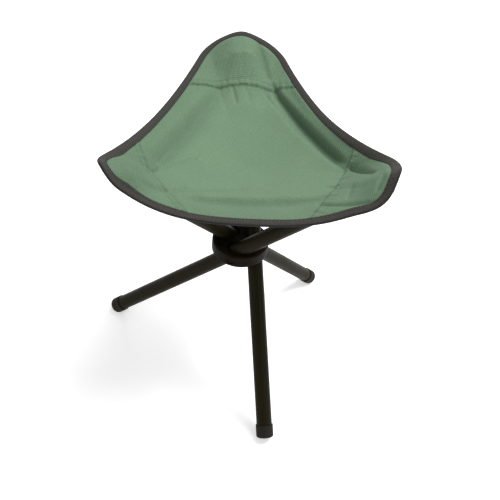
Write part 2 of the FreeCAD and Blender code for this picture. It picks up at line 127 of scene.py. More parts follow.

# Folds of the slack cloth: start and end in plan, depth, width to the right and to the left of the line,
# and how much shade is painted into the fold. A fold with a negative depth is a swelling beside another.
CREASES = (
    ((40, 102), (86, -29), 8.2, 7.5, 2.6, 0.58),
    ((57, 92), (98, -22), -2.2, 5.0, 6.0, 0.0),
    ((30, 98), (62, 16), 0.9, 2.6, 2.6, 0.06),
    ((-13, 103), (-91, -17), 5.4, 7.0, 10.0, 0.2),
    ((-30, 92), (-101, -14), -1.5, 7.0, 5.0, 0.0),
    ((-84, -16), (-46, 8), 1.3, 3.4, 3.0, 0.05),
    ((-80, -50), (-62, -40), 1.4, 3.0, 3.0, 0.05),
    ((-76, -48), (-4, -36), 1.5, 3.4, 2.6, 0.06),
    ((-70, -56), (64, -70), 3.4, 8.0, 5.0, 0.27),
    ((0, 102), (1, 80), 1.7, 2.2, 2.6, 0.08),
    ((13, 100), (15, 80), 0.8, 2.6, 3.0, 0.03),
    ((38, 104), (32, 150), 2.8, 4.0, 5.0, 0.2),
    ((-9, 106), (2, 128), 1.2, 6.0, 6.0, 0.1),
    ((86, -29), (97, -68), 5.0, 2.6, 3.6, 0.34),
    ((-79, -47), (-104, -60), 3.4, 4.0, 5.0, 0.12),
    ((-86, -11), (-98, -30), 2.2, 2.6, 3.2, 0.2),
    ((90, -92), (100, -78), 2.4, 2.6, 2.0, 0.12),
    ((44, -78), (90, -100), 2.6, 3.0, 2.6, 0.14),
    ((72, -56), (58, -50), 1.2, 2.6, 2.6, 0.05),
    ((80, -64), (70, -84), 1.0, 2.4, 2.4, 0.05),
    ((-98, -22), (-114, -70), 0.0, 18.0, 16.0, 0.15),
)


# ---------------------------------------------------------------- directions, frames and smoothing


def smooth(v):
    """0 below 0, 1 above 1, and an even curve between."""
    v = np.clip(v, 0.0, 1.0)
    return v * v * (3.0 - 2.0 * v)


def soften(values, passes):
    """Values round a closed line, each averaged with its neighbours again and again."""
    for _ in range(passes):
        values = (np.roll(values, 1) + 2 * values + np.roll(values, -1)) / 4
    return values


def azimuth(k):
    """Direction of a corner's middle line, in radians."""
    return math.radians(TIP_AZIMUTH + THIRD * k)


def corner_frame(x, y, k):
    """(way out along a corner's middle line, way to the left of it)."""
    a = azimuth(k)
    return x * math.cos(a) + y * math.sin(a), y * math.cos(a) - x * math.sin(a)


def corner_point(k, along, across):
    """The point in plan for a way along a corner's middle line and to the left of it."""
    a = azimuth(k)
    return along * math.cos(a) - across * math.sin(a), along * math.sin(a) + across * math.cos(a)


def tube_frame(x, y, k):
    """(way out along a tube, way aside from it), both in plan."""
    a = math.radians(THIRD * k)
    return y * math.cos(a) - x * math.sin(a), x * math.cos(a) + y * math.sin(a) - PIVOT_OFFSET


def half_of_corner(k, side, count):
    """Angles from a corner's middle line to the middle of a side: 1 for anticlockwise, -1 for clockwise."""
    return azimuth(k) + side * np.linspace(0, HALF_CORNER, count)


def piece_name(kind, k, side):
    return "%s_%s_%s" % (kind, LEGS[k], "left" if side > 0 else "right")


# ---------------------------------------------------------------- the rim


def arc(middle, radius, start, end):
    """Points anticlockwise round a corner from one direction to another, without the last."""
    angles = start + ((end - start) % TURN) * np.linspace(0, 1, 24)[:-1]
    return middle + radius * np.column_stack([np.cos(angles), np.sin(angles)])


def make_outline():
    """The rim as a closed line of round corners and slightly bowed sides: its angles, radii and heights."""
    turn = [azimuth(k) + math.radians(CORNER_SWING[k]) for k in range(3)]
    middle = [
        (CORNER_REACH[k] - CORNER_ROUND[k]) * np.array([math.cos(turn[k]), math.sin(turn[k])])
        for k in range(3)
    ]
    angles, radii, heights = [], [], []
    for k in range(3):
        j = (k + 1) % 3
        along = middle[j] - middle[k]
        length = np.linalg.norm(along)
        along = along / length
        outward = np.array([along[1], -along[0]])
        lean = (CORNER_ROUND[k] - CORNER_ROUND[j]) / length
        outward = outward * math.sqrt(1 - lean * lean) + along * lean
        facing = math.atan2(outward[1], outward[0]) % TURN
        first = middle[k] + outward * CORNER_ROUND[k]
        last = middle[j] + outward * CORNER_ROUND[j]
        share = np.linspace(0, 1, 80)[:-1, None]
        bow = SIDE_BOW[k] * (1 - (2 * share - 1) ** 2)
        points = np.concatenate([
            arc(middle[k], CORNER_ROUND[k], turn[k] % TURN, facing),
            first + (last - first) * share - outward * bow,
            arc(middle[j], CORNER_ROUND[j], facing, turn[j]),
        ])
        steps = np.linalg.norm(np.diff(points, axis=0), axis=1)
        run = np.concatenate([[0.0], np.cumsum(steps)])
        share = 2 * run / (run[-1] + steps[-1]) - 1
        tips = np.where(share < 0, CORNER_HEIGHT[k], CORNER_HEIGHT[j])
        heights.append(SIDE_HEIGHT[k] + (tips - SIDE_HEIGHT[k]) * np.abs(share) ** SIDE_CURL[k])
        angles.append(np.arctan2(points[:, 1], points[:, 0]))
        radii.append(np.hypot(points[:, 0], points[:, 1]))
    return np.concatenate(angles), np.concatenate(radii), np.concatenate(heights)


EVEN = np.linspace(0, TURN, 1440, endpoint=False)


def spread_evenly(angles, values, passes):
    """Values at any angles, brought to the even ones and smoothed."""
    order = np.argsort(angles % TURN)
    return soften(np.interp(EVEN, (angles % TURN)[order], values[order], period=TURN), passes)


def around(table, angle):
    """A table of values at the even angles, read in any direction."""
    return np.interp(angle % TURN, EVEN, table, period=TURN)


OUTLINE_ANGLE, OUTLINE_R, OUTLINE_Z = make_outline()
PUSH = np.exp(-((np.degrees(EVEN) - PUSH_AT) / PUSH_SPREAD) ** 2)
RIM_R = spread_evenly(OUTLINE_ANGLE, OUTLINE_R, RIM_R_PASSES) + PUSH_OUT * PUSH
RIM_Z = spread_evenly(OUTLINE_ANGLE, OUTLINE_Z, RIM_Z_PASSES) - PUSH_DOWN * PUSH


def rim_line(angles):
    """Points on the rim in plan and the way inwards, for each angle."""
    def at(a):
        r = around(RIM_R, a)
        return np.stack([r * np.cos(a), r * np.sin(a)], axis=-1)
    tangent = at(angles + 0.004) - at(angles - 0.004)
    tangent /= np.linalg.norm(tangent, axis=-1, keepdims=True)
    return at(angles), np.stack([-tangent[:, 1], tangent[:, 0]], axis=-1)


# ---------------------------------------------------------------- the folds round the sunk middle


def make_folds():
    """The six points where the folds meet the seams, in plan, with their heights."""
    points, heights = [], []
    for k in range(3):
        out = np.array([math.cos(azimuth(k)), math.sin(azimuth(k))])
        left = np.array([-out[1], out[0]])
        for across in (-KINK_RIGHT[k], KINK_LEFT[k]):
            points.append(out * SEAM_AT[k] + left * across)
            heights.append(KINK_HEIGHT[k])
    return np.array(points), np.array(heights)


def fold_line(angle):
    """Radius and height of the closed line of seams and folds, in each direction."""
    points, heights = make_folds()
    cos, sin = np.cos(angle), np.sin(angle)
    radius = np.full_like(angle, 1e9)
    height = np.zeros_like(angle)
    for n in range(6):
        p, q = points[n], points[(n + 1) % 6]
        d = q - p
        across = cos * d[1] - sin * d[0]
        with np.errstate(divide="ignore", invalid="ignore"):
            r = (p[0] * d[1] - p[1] * d[0]) / across
            s = (p[0] * sin - p[1] * cos) / across
        hit = (s >= -0.02) & (s <= 1.02) & (r > 0) & (r < radius)
        z0, z1 = heights[n], heights[(n + 1) % 6]
        middle = SEAM_HEIGHT[n // 2] if n % 2 == 0 else FOLD_HEIGHT[n // 2]
        s = np.clip(s, 0, 1)
        z = z0 + (z1 - z0) * s + (middle - (z0 + z1) / 2) * 4 * s * (1 - s)
        radius = np.where(hit, r, radius)
        height = np.where(hit, z, height)
    return radius, height


FOLD_R, FOLD_Z = fold_line(EVEN)
FOLD_R = soften(FOLD_R, FOLD_R_PASSES)
FOLD_Z = soften(FOLD_Z, FOLD_Z_PASSES)
FOLD_MEAN_R, FOLD_MEAN_Z = float(FOLD_R.mean()), float(FOLD_Z.mean())

# ---------------------------------------------------------------- the height of the cloth


def ridge(run):
    """Height of the cloth over a tube's middle line: up the tube, over its end, then out to the rim."""
    over = TUBE_TOP + RUN_END * TUBE_RISE + LAP_GAP
    beyond = over + LAP_RISE * np.sin(np.clip((run - RUN_END) / LAP_RUN, 0, 1) * math.pi / 2)
    return np.where(run < RUN_END, over - (RUN_END - run) * TUBE_RISE, beyond)


def over_tube(run, aside):
    """The lowest that the cloth can lie over a tube and the rounded head of its cap."""
    wide = TUBE_RADIUS + GUARD_GAP
    line = PIVOT_HEIGHT + np.minimum(run, RUN_END + 1.0) * TUBE_RISE
    line = line + np.sqrt(np.clip(wide ** 2 - aside ** 2, 0.0, None)) / math.sin(TILT)
    line = line - np.maximum(run - RUN_END - CAP_HEAD, 0.0) * GUARD_FALL
    return np.where((np.abs(aside) < wide) & (run > GUARD_FROM) & (run < RUN_END + GUARD_PAST), line, 0.0)


def along_line(x, y, start, end):
    """(distance to the left of a line, share along it)."""
    sx, sy = start
    dx, dy = end[0] - sx, end[1] - sy
    length = math.hypot(dx, dy)
    share = ((x - sx) * dx + (y - sy) * dy) / length ** 2
    side = ((y - sy) * dx - (x - sx) * dy) / length
    return side, share


def crease(x, y, start, end, inner, outer, fade=0.16):
    """How deep in a fold a point is, 0 to 1.

    A fold is narrow at its ends and widest in the middle, with its own width to each side.
    """
    side, share = along_line(x, y, start, end)
    swell = 0.6 + 0.4 * np.sin(np.clip(share, 0.0, 1.0) * math.pi)
    fall = smooth((share + 0.03) / fade) * smooth((1.03 - share) / fade)
    width = np.where(side > 0, outer, inner) * swell
    return swell * np.exp(-(side / width) ** 2) * fall


def seam_line(x, y, k):
    """(way beyond a corner's seam, way across). A seam bows towards the seat's middle at its ends."""
    a, c = corner_frame(x, y, k)
    return a - (SEAM_AT[k] - SEAM_BOW[k] * c ** 2), c


def details(x, y, inset):
    """Folds, the doubled cloth beyond each seam, its puckers and grooves. inset is the way in from the rim."""
    z = np.zeros_like(x)
    inside = smooth((inset - FOLDS_FROM) / FOLDS_GROW)
    for start, end, depth, inner, outer, _ in CREASES:
        z -= depth * crease(x, y, start, end, inner, outer) * inside
    for k in range(3):
        beyond, across = seam_line(x, y, k)
        z += HEM_STEP * smooth(beyond + 0.5) * smooth((inset - HEM_FROM) / HEM_GROWS)
        near = np.exp(-((beyond - 1.5) / 6.0) ** 2) * inside
        z += PUCKER * near * np.sin(across * 0.77 + 1.3 * k) * np.sin(across * 0.29 + k)
        z -= GROOVE * inside * sum(np.exp(-((beyond - at) / wide) ** 2) for at, wide in STITCH_ROWS)
    return z + UNEVEN * inside * np.sin(x * 0.11 + y * 0.05) * np.sin(y * 0.13 - x * 0.04 + 1.0)


def seat_height(x, y):
    """Height of the middle of the seat cloth over points in plan."""
    x = np.asarray(x, float)
    y = np.asarray(y, float)
    angle = np.arctan2(y, x)
    reach = np.hypot(x, y)
    rim_r, rim_z = around(RIM_R, angle), around(RIM_Z, angle)
    fold_r, fold_z = around(FOLD_R, angle), around(FOLD_Z, angle)
    near = np.clip(reach / fold_r, 0, 1)
    even = np.clip(reach / FOLD_MEAN_R, 0, 1) * (1 - near ** 2) + near ** 3
    inner = CENTRE_HEIGHT + (FOLD_MEAN_Z - CENTRE_HEIGHT) * even ** 1.6 + (fold_z - FOLD_MEAN_Z) * near ** 4
    share = np.clip((reach - fold_r) / (rim_r - fold_r), 0, 1.3)
    outer = fold_z + (rim_z - fold_z) * share
    z = np.where(reach < fold_r, inner, outer)
    for k in range(3):
        run, aside = tube_frame(x, y, k)
        far = np.abs(aside) / np.where(aside < 0, *LAP_REACH[k])
        lap = np.exp(-far ** 2.6) * smooth((run - LAP_FROM) / LAP_GROWS) * smooth((rim_r - reach) / LAP_RIM)
        z = z + np.maximum(ridge(run) - z, 0.0) * lap
    z = z + details(x, y, rim_r - reach)
    for k in range(3):
        short = over_tube(*tube_frame(x, y, k)) - z
        z = z + 0.5 * (short + np.sqrt(short ** 2 + 0.6))
    return z


def seat_normals(x, y, step=0.5):
    dx = (seat_height(x + step, y) - seat_height(x - step, y)) / (2 * step)
    dy = (seat_height(x, y + step) - seat_height(x, y - step)) / (2 * step)
    n = np.stack([-dx, -dy, np.ones_like(dx)], axis=-1)
    return n / np.linalg.norm(n, axis=-1, keepdims=True)


def over_cloth(x, y, lift):
    """Points at a height over the middle of the cloth, and the cloth's normals there."""
    n = seat_normals(x, y)
    return np.column_stack([x, y, seat_height(x, y)]) + n * lift, n


def painted_shade(x, y):
    """Painted shade: 1 on open cloth, and less towards the rim, in folds, along the seams' steps and in the
    groove of the outer stitch row.
    """
    rim_r = around(RIM_R, np.arctan2(y, x))
    # Painted shade towards the rim, where the cloth tilts away from the light.
    tone = 1 - RIM_SHADE * smooth((np.hypot(x, y) / rim_r - 0.5) / 0.45)
    # Painted shade in the folds.
    for start, end, _, inner, outer, dark in CREASES:
        tone *= 1 - dark * crease(x, y, start, end, inner * 0.75, outer * 0.9)
    for k in range(3):
        beyond, across = seam_line(x, y, k)
        uneven = 0.75 + 0.25 * np.sin(across * 0.9 + k) * np.sin(across * 0.37)
        # Painted shadow under the step of the doubled cloth at each seam.
        tone *= 1 - SEAM_SHADE[k] * np.exp(-((beyond + 0.3) / 1.0) ** 2) * uneven
        # Painted shade in the groove that the outer row of stitches pulls.
        tone *= 1 - STITCH_SHADE * np.exp(-((beyond - STITCH_ROWS[1][0]) / 0.7) ** 2) * uneven
    return tone


# ---------------------------------------------------------------- mesh helpers


def add_mesh(name, points, faces, material, normals=None, uv=None):
    """A smooth mesh object from points in millimetres round the hub's axis."""
    mesh = bpy.data.meshes.new(name)
    mesh.from_pydata([tuple(p) for p in (np.asarray(points) + HUB_AT) * MM], [], faces)
    mesh.update()
    for polygon in mesh.polygons:
        polygon.use_smooth = True
    if uv is not None:
        layer = mesh.uv_layers.new(name="UVMap")
        loops = np.zeros(len(mesh.loops), dtype=np.int32)
        mesh.loops.foreach_get("vertex_index", loops)
        layer.data.foreach_set("uv", np.asarray(uv, np.float32)[loops].ravel())
    if normals is not None:
        mesh.normals_split_custom_set_from_vertices([tuple(n) for n in normals])
    obj = bpy.data.objects.new(name, mesh)
    bpy.context.scene.collection.objects.link(obj)
    mesh.materials.append(material)
    return obj


def as_faces(quads, flip):
    if flip:
        quads = quads[:, ::-1]
    return [tuple(int(v) for v in q) for q in quads]


def grid_faces(rows, columns, offset=0, flip=False):
    """Quads of a grid of rows x columns points."""
    r, c = np.meshgrid(np.arange(rows - 1), np.arange(columns - 1), indexing="ij")
    first = (r * columns + c).ravel() + offset
    return as_faces(np.stack([first, first + columns, first + columns + 1, first + 1], axis=-1), flip)


def edge_faces(rows, columns, below, flip=False):
    """Quads that close the gap between the borders of two like grids, the second starting at index below."""
    grid = np.arange(rows * columns).reshape(rows, columns)
    loop = np.concatenate([grid[0, :-1], grid[:-1, -1], grid[-1, :0:-1], grid[:0:-1, 0]])
    after = np.roll(loop, -1)
    return as_faces(np.stack([loop, after, after + below, loop + below], axis=-1), flip)


# The painted shade is stored on the mesh as a factor that darkens the cloth's colour.
def store_painted_shade(obj, values):
    layer = obj.data.attributes.new("painted_shade", "FLOAT", "POINT")
    layer.data.foreach_set("value", np.asarray(values, np.float32))


# ---------------------------------------------------------------- shader helpers


def new_material(name, rgb, roughness, **sockets):
    """A material with its uniform values set on the shader. Socket names have _ for a space."""
    material = bpy.data.materials.new(name)
    material.use_nodes = True
    shader = material.node_tree.nodes["Principled BSDF"]
    shader.inputs["Base Color"].default_value = (*rgb, 1.0)
    shader.inputs["Roughness"].default_value = roughness
    for key, value in sockets.items():
        shader.inputs[key.replace("_", " ")].default_value = value
    return material


def node(material, kind, **settings):
    made = material.node_tree.nodes.new(kind)
    for key, value in settings.items():
        setattr(made, key, value)
    return made


def link(material, source, target):
    material.node_tree.links.new(source, target)


def finish_material(material, colour, normal, roughness=None):
    """Links the worked-out colour, normal and roughness to the shader."""
    shader = material.node_tree.nodes["Principled BSDF"]
    link(material, colour, shader.inputs["Base Color"])
    link(material, normal, shader.inputs["Normal"])
    if roughness is not None:
        link(material, roughness, shader.inputs["Roughness"])
    return material


def math_node(material, operation, *values):
    made = node(material, "ShaderNodeMath", operation=operation)
    for slot, value in enumerate(values):
        if isinstance(value, (int, float)):
            made.inputs[slot].default_value = value
        else:
            link(material, value, made.inputs[slot])
    return made.outputs[0]


def product(material, first, *others):
    for other in others:
        first = math_node(material, "MULTIPLY", first, other)
    return first


def wave(material, value, pitch):
    """A sine along a coordinate, in metres, that repeats at every pitch."""
    return math_node(material, "SINE", product(material, value, TURN / pitch))


def mix_colour(material, factor, first, second):
    made = node(material, "ShaderNodeMix", data_type="RGBA")
    for socket, value in ((made.inputs[0], factor), (made.inputs[6], first), (made.inputs[7], second)):
        if isinstance(value, (int, float)):
            socket.default_value = value
        elif isinstance(value, tuple):
            socket.default_value = (*value, 1.0)
        else:
            link(material, value, socket)
    return made.outputs[2]


def noise(material, vector, scale, detail=3.0, roughness=0.55):
    made = node(material, "ShaderNodeTexNoise")
    made.inputs["Scale"].default_value = scale
    made.inputs["Detail"].default_value = detail
    made.inputs["Roughness"].default_value = roughness
    link(material, vector, made.inputs["Vector"])
    return made.outputs["Fac"]


def stretched(material, uv, along, across):
    """The coordinates scaled by their own factors along and across."""
    made = node(material, "ShaderNodeMapping")
    made.inputs["Scale"].default_value = (along, across, 1.0)
    link(material, uv, made.inputs["Vector"])
    return made.outputs["Vector"]


def ramp(material, value, low, high, to_low=0.0, to_high=1.0):
    made = node(material, "ShaderNodeMapRange")
    made.inputs["From Min"].default_value = low
    made.inputs["From Max"].default_value = high
    made.inputs["To Min"].default_value = to_low
    made.inputs["To Max"].default_value = to_high
    link(material, value, made.inputs["Value"])
    return made.outputs["Result"]


def bump_node(material, height, distance, strength, under=None):
    made = node(material, "ShaderNodeBump")
    made.inputs["Distance"].default_value = distance
    made.inputs["Strength"].default_value = strength
    link(material, height, made.inputs["Height"])
    if under is not None:
        link(material, under, made.inputs["Normal"])
    return made.outputs["Normal"]


def uv_coordinates(material):
    """The UV map, and its two coordinates apart, all in metres."""
    uv = node(material, "ShaderNodeUVMap").outputs["UV"]
    split = node(material, "ShaderNodeSeparateXYZ")
    link(material, uv, split.inputs[0])
    return uv, split.outputs[0], split.outputs[1]


def weave_height(material, u, v, pitch):
    """Over-and-under of a plain weave, 0 to 1."""
    over = ramp(material, product(material, wave(material, u, pitch), wave(material, v, pitch)), -1.0, 1.0)
    warp = math_node(material, "ABSOLUTE", wave(material, u, 2 * pitch))
    weft = math_node(material, "ABSOLUTE", wave(material, v, 2 * pitch))
    under = product(material, weft, math_node(material, "SUBTRACT", 1.0, over))
    return math_node(material, "ADD", product(material, warp, over), under)


# ---------------------------------------------------------------- materials


def cloth_material(name, light, dark, pitch=0.0013):
    """Coated plain-weave cloth: yarns, slubs, soft unevenness, and the shade painted on the mesh."""
    material = new_material(name, light, 0.82, Sheen_Weight=0.1, Sheen_Roughness=0.5, Specular_IOR_Level=0.22)
    uv, u, v = uv_coordinates(material)
    weave = weave_height(material, u, v, pitch)
    slubs = noise(material, stretched(material, uv, 260.0, 1500.0), 1.0, 2.0)
    cross = noise(material, stretched(material, uv, 1500.0, 260.0), 1.0, 2.0)
    tone = product(
        material,
        ramp(material, weave, 0.2, 1.0, 0.68, 1.04),
        ramp(material, slubs, 0.3, 0.7, 0.88, 1.1),
        ramp(material, cross, 0.3, 0.7, 0.9, 1.1),
        ramp(material, noise(material, uv, 30.0, 5.0, 0.6), 0.3, 0.7, 0.95, 1.05),
        # The painted shade stored on the mesh darkens the cloth here.
        node(material, "ShaderNodeAttribute", attribute_name="painted_shade").outputs["Fac"],
    )
    soft = bump_node(material, noise(material, uv, 55.0, 4.0), 0.0016, 0.4)
    return finish_material(
        material, mix_colour(material, tone, dark, light), bump_node(material, weave, 0.0003, 0.7, soft),
        ramp(material, weave, 0.0, 1.0, 0.92, 0.74),
    )


def tape_material(name, light, dark, shade_lines=()):
    """Ribbed woven tape, with shade painted as dark lines at the given places across its width: its turned-in
    border and its fold at the rim.
    """
    material = new_material(name, light, 0.8, Sheen_Weight=0.12, Specular_IOR_Level=0.3)
    uv, u, v = uv_coordinates(material)
    ribs = wave(material, u, 0.0013)
    yarn = product(material, wave(material, v, 0.001), 0.45)
    height = ramp(material, math_node(material, "ADD", ribs, yarn), -1.45, 1.45)
    tone = product(
        material,
        ramp(material, height, 0.0, 1.0, 0.5, 1.0),
        ramp(material, noise(material, uv, 800.0, 2.0, 0.7), 0.35, 0.65, 0.7, 1.25),
        ramp(material, noise(material, uv, 90.0, 4.0, 0.65), 0.3, 0.7, 0.85, 1.12),
    )
    # Painted shade: a dark line along each of these places across the tape.
    for edge in shade_lines:
        away = math_node(material, "ABSOLUTE", math_node(material, "SUBTRACT", v, edge))
        tone = product(material, tone, ramp(material, away, 0.0003, 0.0018, 0.05, 1.0))
    colour = mix_colour(material, tone, dark, light)
    return finish_material(material, colour, bump_node(material, height, 0.0003, 0.7))


def paint_material(name, rgb, worn, gloss=0.3):
    """Enamel on steel: fine orange peel, dust and faint rubbing."""
    material = new_material(name, rgb, 0.4, IOR=1.2, Specular_IOR_Level=gloss)
    where = node(material, "ShaderNodeTexCoord").outputs["Object"]
    cloud = noise(material, where, 45.0, 5.0, 0.6)
    rub = ramp(material, noise(material, where, 160.0, 6.0, 0.7), 0.6, 0.75)
    paint = mix_colour(material, cloud, rgb, tuple(c * 1.5 for c in rgb))
    peel = bump_node(material, noise(material, where, 260.0, 3.0), 0.0004, 0.12)
    grain = noise(material, where, 700.0, 3.0, 0.6)
    return finish_material(
        material, mix_colour(material, product(material, rub, 0.35), paint, worn),
        bump_node(material, grain, 0.00008, 0.25, peel), ramp(material, cloud, 0.3, 0.7, 0.34, 0.5),
    )


def moulded_material(name, rgb, roughness, grain_scale=900.0, depth=0.00012, gloss=0.25, dusty=0.003):
    """Moulded plastic or rubber: fine grain, uneven dullness and dust in uneven patches."""
    material = new_material(name, rgb, roughness, IOR=1.2, Specular_IOR_Level=gloss)
    where = node(material, "ShaderNodeTexCoord").outputs["Object"]
    cloud = noise(material, where, 60.0, 5.0, 0.6)
    grain = noise(material, where, grain_scale, 3.0, 0.6)
    pale = tuple(c * 1.6 + dusty for c in rgb)
    return finish_material(
        material, mix_colour(material, ramp(material, cloud, 0.3, 0.75), rgb, pale),
        bump_node(material, grain, depth, 0.5),
        ramp(material, cloud, 0.3, 0.7, roughness - 0.07, roughness + 0.1),
    )


CLOTH_MATERIAL = cloth_material("seat_cloth", (0.153, 0.246, 0.153), (0.02, 0.05, 0.026))
# The tape's painted shade lines lie along its turned-in border and along its fold at the rim.
TAPE_MATERIAL = tape_material("edge_tape", (0.042, 0.0395, 0.033), (0.006, 0.0055, 0.0045), (0.0, 0.0088))
THREAD_MATERIAL = tape_material("stitch_thread", (0.2, 0.29, 0.19), (0.09, 0.14, 0.09))
TAPE_THREAD = tape_material("tape_thread", (0.03, 0.028, 0.024), (0.012, 0.011, 0.01))
NODE_MATERIALS = {
    "hub_body": moulded_material("hub_plastic", (0.0062, 0.0042, 0.0018), 0.5, gloss=0.2, dusty=0.0012),
    "leg_tube": paint_material("tube_paint", (0.0092, 0.0076, 0.0024), (0.028, 0.0225, 0.0105)),
    "foot_cap": moulded_material("foot_rubber", (0.017, 0.016, 0.0125), 0.62, 700.0, 0.0002),
    "top_cap": moulded_material("cap_plastic", (0.012, 0.012, 0.011), 0.5),
    "pivot_pin": paint_material("pin_steel", (0.0055, 0.0042, 0.0024), (0.025, 0.021, 0.014), gloss=0.16),
}
for name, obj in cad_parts.items():
    for start, material in NODE_MATERIALS.items():
        if name.startswith(start):
            obj.data.materials.clear()
            obj.data.materials.append(material)

# ---------------------------------------------------------------- the seat cloth, two pieces to a corner

RINGS = 150
RAYS = 110
RIM_STEPS = 160


def seat_half(k, side):
    """One sixth of the seat cloth, as an upper and a lower skin joined round their edge."""
    angles = half_of_corner(k, side, RAYS + 1)
    shares = np.linspace(0.0004, 1.0, RINGS + 1)
    r = shares[:, None] * (around(RIM_R, angles) - RIM_INSET)[None, :]
    x, y = r * np.cos(angles), r * np.sin(angles)
    n = seat_normals(x, y)
    middle = np.stack([x, y, seat_height(x, y)], axis=-1)
    upper = (middle + n * CLOTH / 2).reshape(-1, 3)
    lower = (middle - n * CLOTH / 2).reshape(-1, 3)
    rows, columns = RINGS + 1, RAYS + 1
    count = rows * columns
    faces = grid_faces(rows, columns, 0, side < 0) + grid_faces(rows, columns, count, side > 0)
    faces += edge_faces(rows, columns, count, side < 0)
    flat = np.stack([x, y], axis=-1).reshape(-1, 2) * MM
    normals = np.concatenate([n.reshape(-1, 3), -n.reshape(-1, 3)])
    obj = add_mesh(
        piece_name("seat_cloth", k, side), np.concatenate([upper, lower]), faces, CLOTH_MATERIAL,
        normals, np.concatenate([flat, flat]),
    )
    store_painted_shade(obj, np.tile(painted_shade(x, y).ravel(), 2))
    return obj


# ---------------------------------------------------------------- the edge tape

# The folded tape's section, from its upper border round the rim to its lower border:
# share of the tape's width in from the rim, way in from there, and height over the middle of the cloth.
TOP = CLOTH / 2
TAPE_SECTION = (
    (1, 0.0, -0.1), (1, 0.0, TOP + 0.45), (1, -0.35, TOP + 0.8), (1, -1.4, TOP + 0.66),
    (1, -2.2, TOP + 0.86), (0.55, 0.0, TOP + 0.95), (0.25, 0.0, TOP + 0.85), (0, 0.8, TOP + 0.55),
    (0, 0.1, TOP + 0.1), (0, -0.35, -0.2), (0, -0.3, -0.8), (0, 0.2, -1.25), (0, 1.2, -1.45),
    (0.55, 0.0, -1.4), (1, -2.2, -1.35), (1, -1.4, -1.15), (1, -0.35, -1.3), (1, 0.0, -1.0), (1, 0.0, -0.1),
)
TAPE_UV_WIDTH = 7.0


def tape_width(angles):
    """Visible width of the tape round the rim: it rolls under a little more along the two rear sides."""
    share = np.stack([np.cos(angles - azimuth(k) - HALF_CORNER) for k in range(3)])
    weight = smooth((share - 0.35) / 0.5)
    return TAPE_CORNER + sum((TAPE_WIDTH[k] - TAPE_CORNER) * weight[k] for k in range(3))


def tape_half(k, side):
    """The tape folded over the rim, from a corner's middle line to the middle of a side."""
    angles = half_of_corner(k, side, RIM_STEPS + 1)
    here, inward = rim_line(angles)
    steps = np.linalg.norm(np.diff(here, axis=0), axis=1)
    run = np.concatenate([[0.0], np.cumsum(steps)]) * side
    width = tape_width(angles)
    points, uv = [], []
    across = 0.0
    for number, (part, extra, rise) in enumerate(TAPE_SECTION):
        depth = part * width + extra
        flat = here + inward * depth[:, None]
        sample = here + inward * np.maximum(depth, 0.2)[:, None]
        z = seat_height(sample[:, 0], sample[:, 1])
        n = seat_normals(sample[:, 0], sample[:, 1])
        pucker = 0.14 * np.sin(run * 1.7 + k) * part
        points.append(np.column_stack([flat, z]) + n * (rise + pucker)[:, None])
        if number:
            before = TAPE_SECTION[number - 1]
            across += math.hypot((part - before[0]) * TAPE_UV_WIDTH + extra - before[1], rise - before[2])
        uv.append(np.column_stack([run, np.full_like(run, across)]) * MM)
    faces = grid_faces(len(TAPE_SECTION), len(angles), 0, side < 0)
    name = piece_name("edge_tape", k, side)
    return add_mesh(name, np.concatenate(points), faces, TAPE_MATERIAL, None, np.concatenate(uv))


# ---------------------------------------------------------------- the stitches

# Half the length that a row across a corner can have, its way in from the rim, and its height on the cloth.
SEAM_ROW_HALF, SEAM_ROW_INSET, SEAM_ROW_LIFT = 70.0, 7.5, 0.1

# The tape's row: way in from the tape's inner border, and height over the cloth.
TAPE_ROW_INSET, TAPE_ROW_LIFT = 1.5, 0.75


def stitches(name, path, normals, material, length=2.1, gap=1.1, thick=0.34):
    """A row of stitches along a path of points: each a short thread that dips into the cloth at its ends."""
    steps = np.linalg.norm(np.diff(path, axis=0), axis=1)
    run = np.concatenate([[0.0], np.cumsum(steps)])

    def read(table, s):
        return np.array([np.interp(s, run, table[:, i]) for i in range(3)])

    round_thread = np.linspace(0, TURN, 6, endpoint=False)
    sides = len(round_thread)
    shares = (0.0, 0.15, 0.5, 0.85, 1.0)
    points, faces, uv = [], [], []
    start = 0.0
    while start + length < run[-1]:
        first = len(points)
        for number, share in enumerate(shares):
            s = start + share * length
            centre = read(path, s)
            n = read(normals, s)
            ahead = read(path, s + 0.3) - read(path, s - 0.3)
            ahead /= max(np.linalg.norm(ahead), 1e-9)
            across = np.cross(ahead, n)
            swell = thick * (0.55 + 0.45 * math.sin(math.pi * min(max(share, 0.08), 0.92)))
            lift = -0.28 + 0.42 * math.sin(math.pi * share)
            points += [
                centre + n * (lift + swell * math.sin(t)) + across * swell * math.cos(t)
                for t in round_thread
            ]
            uv += [((start + number * 0.5) * MM, 0.0)] * sides
        for r in range(len(shares) - 1):
            for c in range(sides):
                d = (c + 1) % sides
                this, after = first + r * sides, first + (r + 1) * sides
                faces.append((this + c, this + d, after + d, after + c))
        start += length + gap
    return add_mesh(name, np.array(points), faces, material, None, np.array(uv))


def seam_row(k, side, number):
    """One of the two rows across a corner, from its middle line out to the tape."""
    across = np.linspace(0.0, SEAM_ROW_HALF, 240) * side
    x, y = corner_point(k, SEAM_AT[k] + STITCH_ROWS[number][0] - SEAM_BOW[k] * across ** 2, across)
    keep = np.hypot(x, y) < around(RIM_R, np.arctan2(y, x)) - SEAM_ROW_INSET
    path, n = over_cloth(x[keep], y[keep], CLOTH / 2 + SEAM_ROW_LIFT)
    return stitches("%s_%d" % (piece_name("seam_thread", k, side), number), path, n, THREAD_MATERIAL)


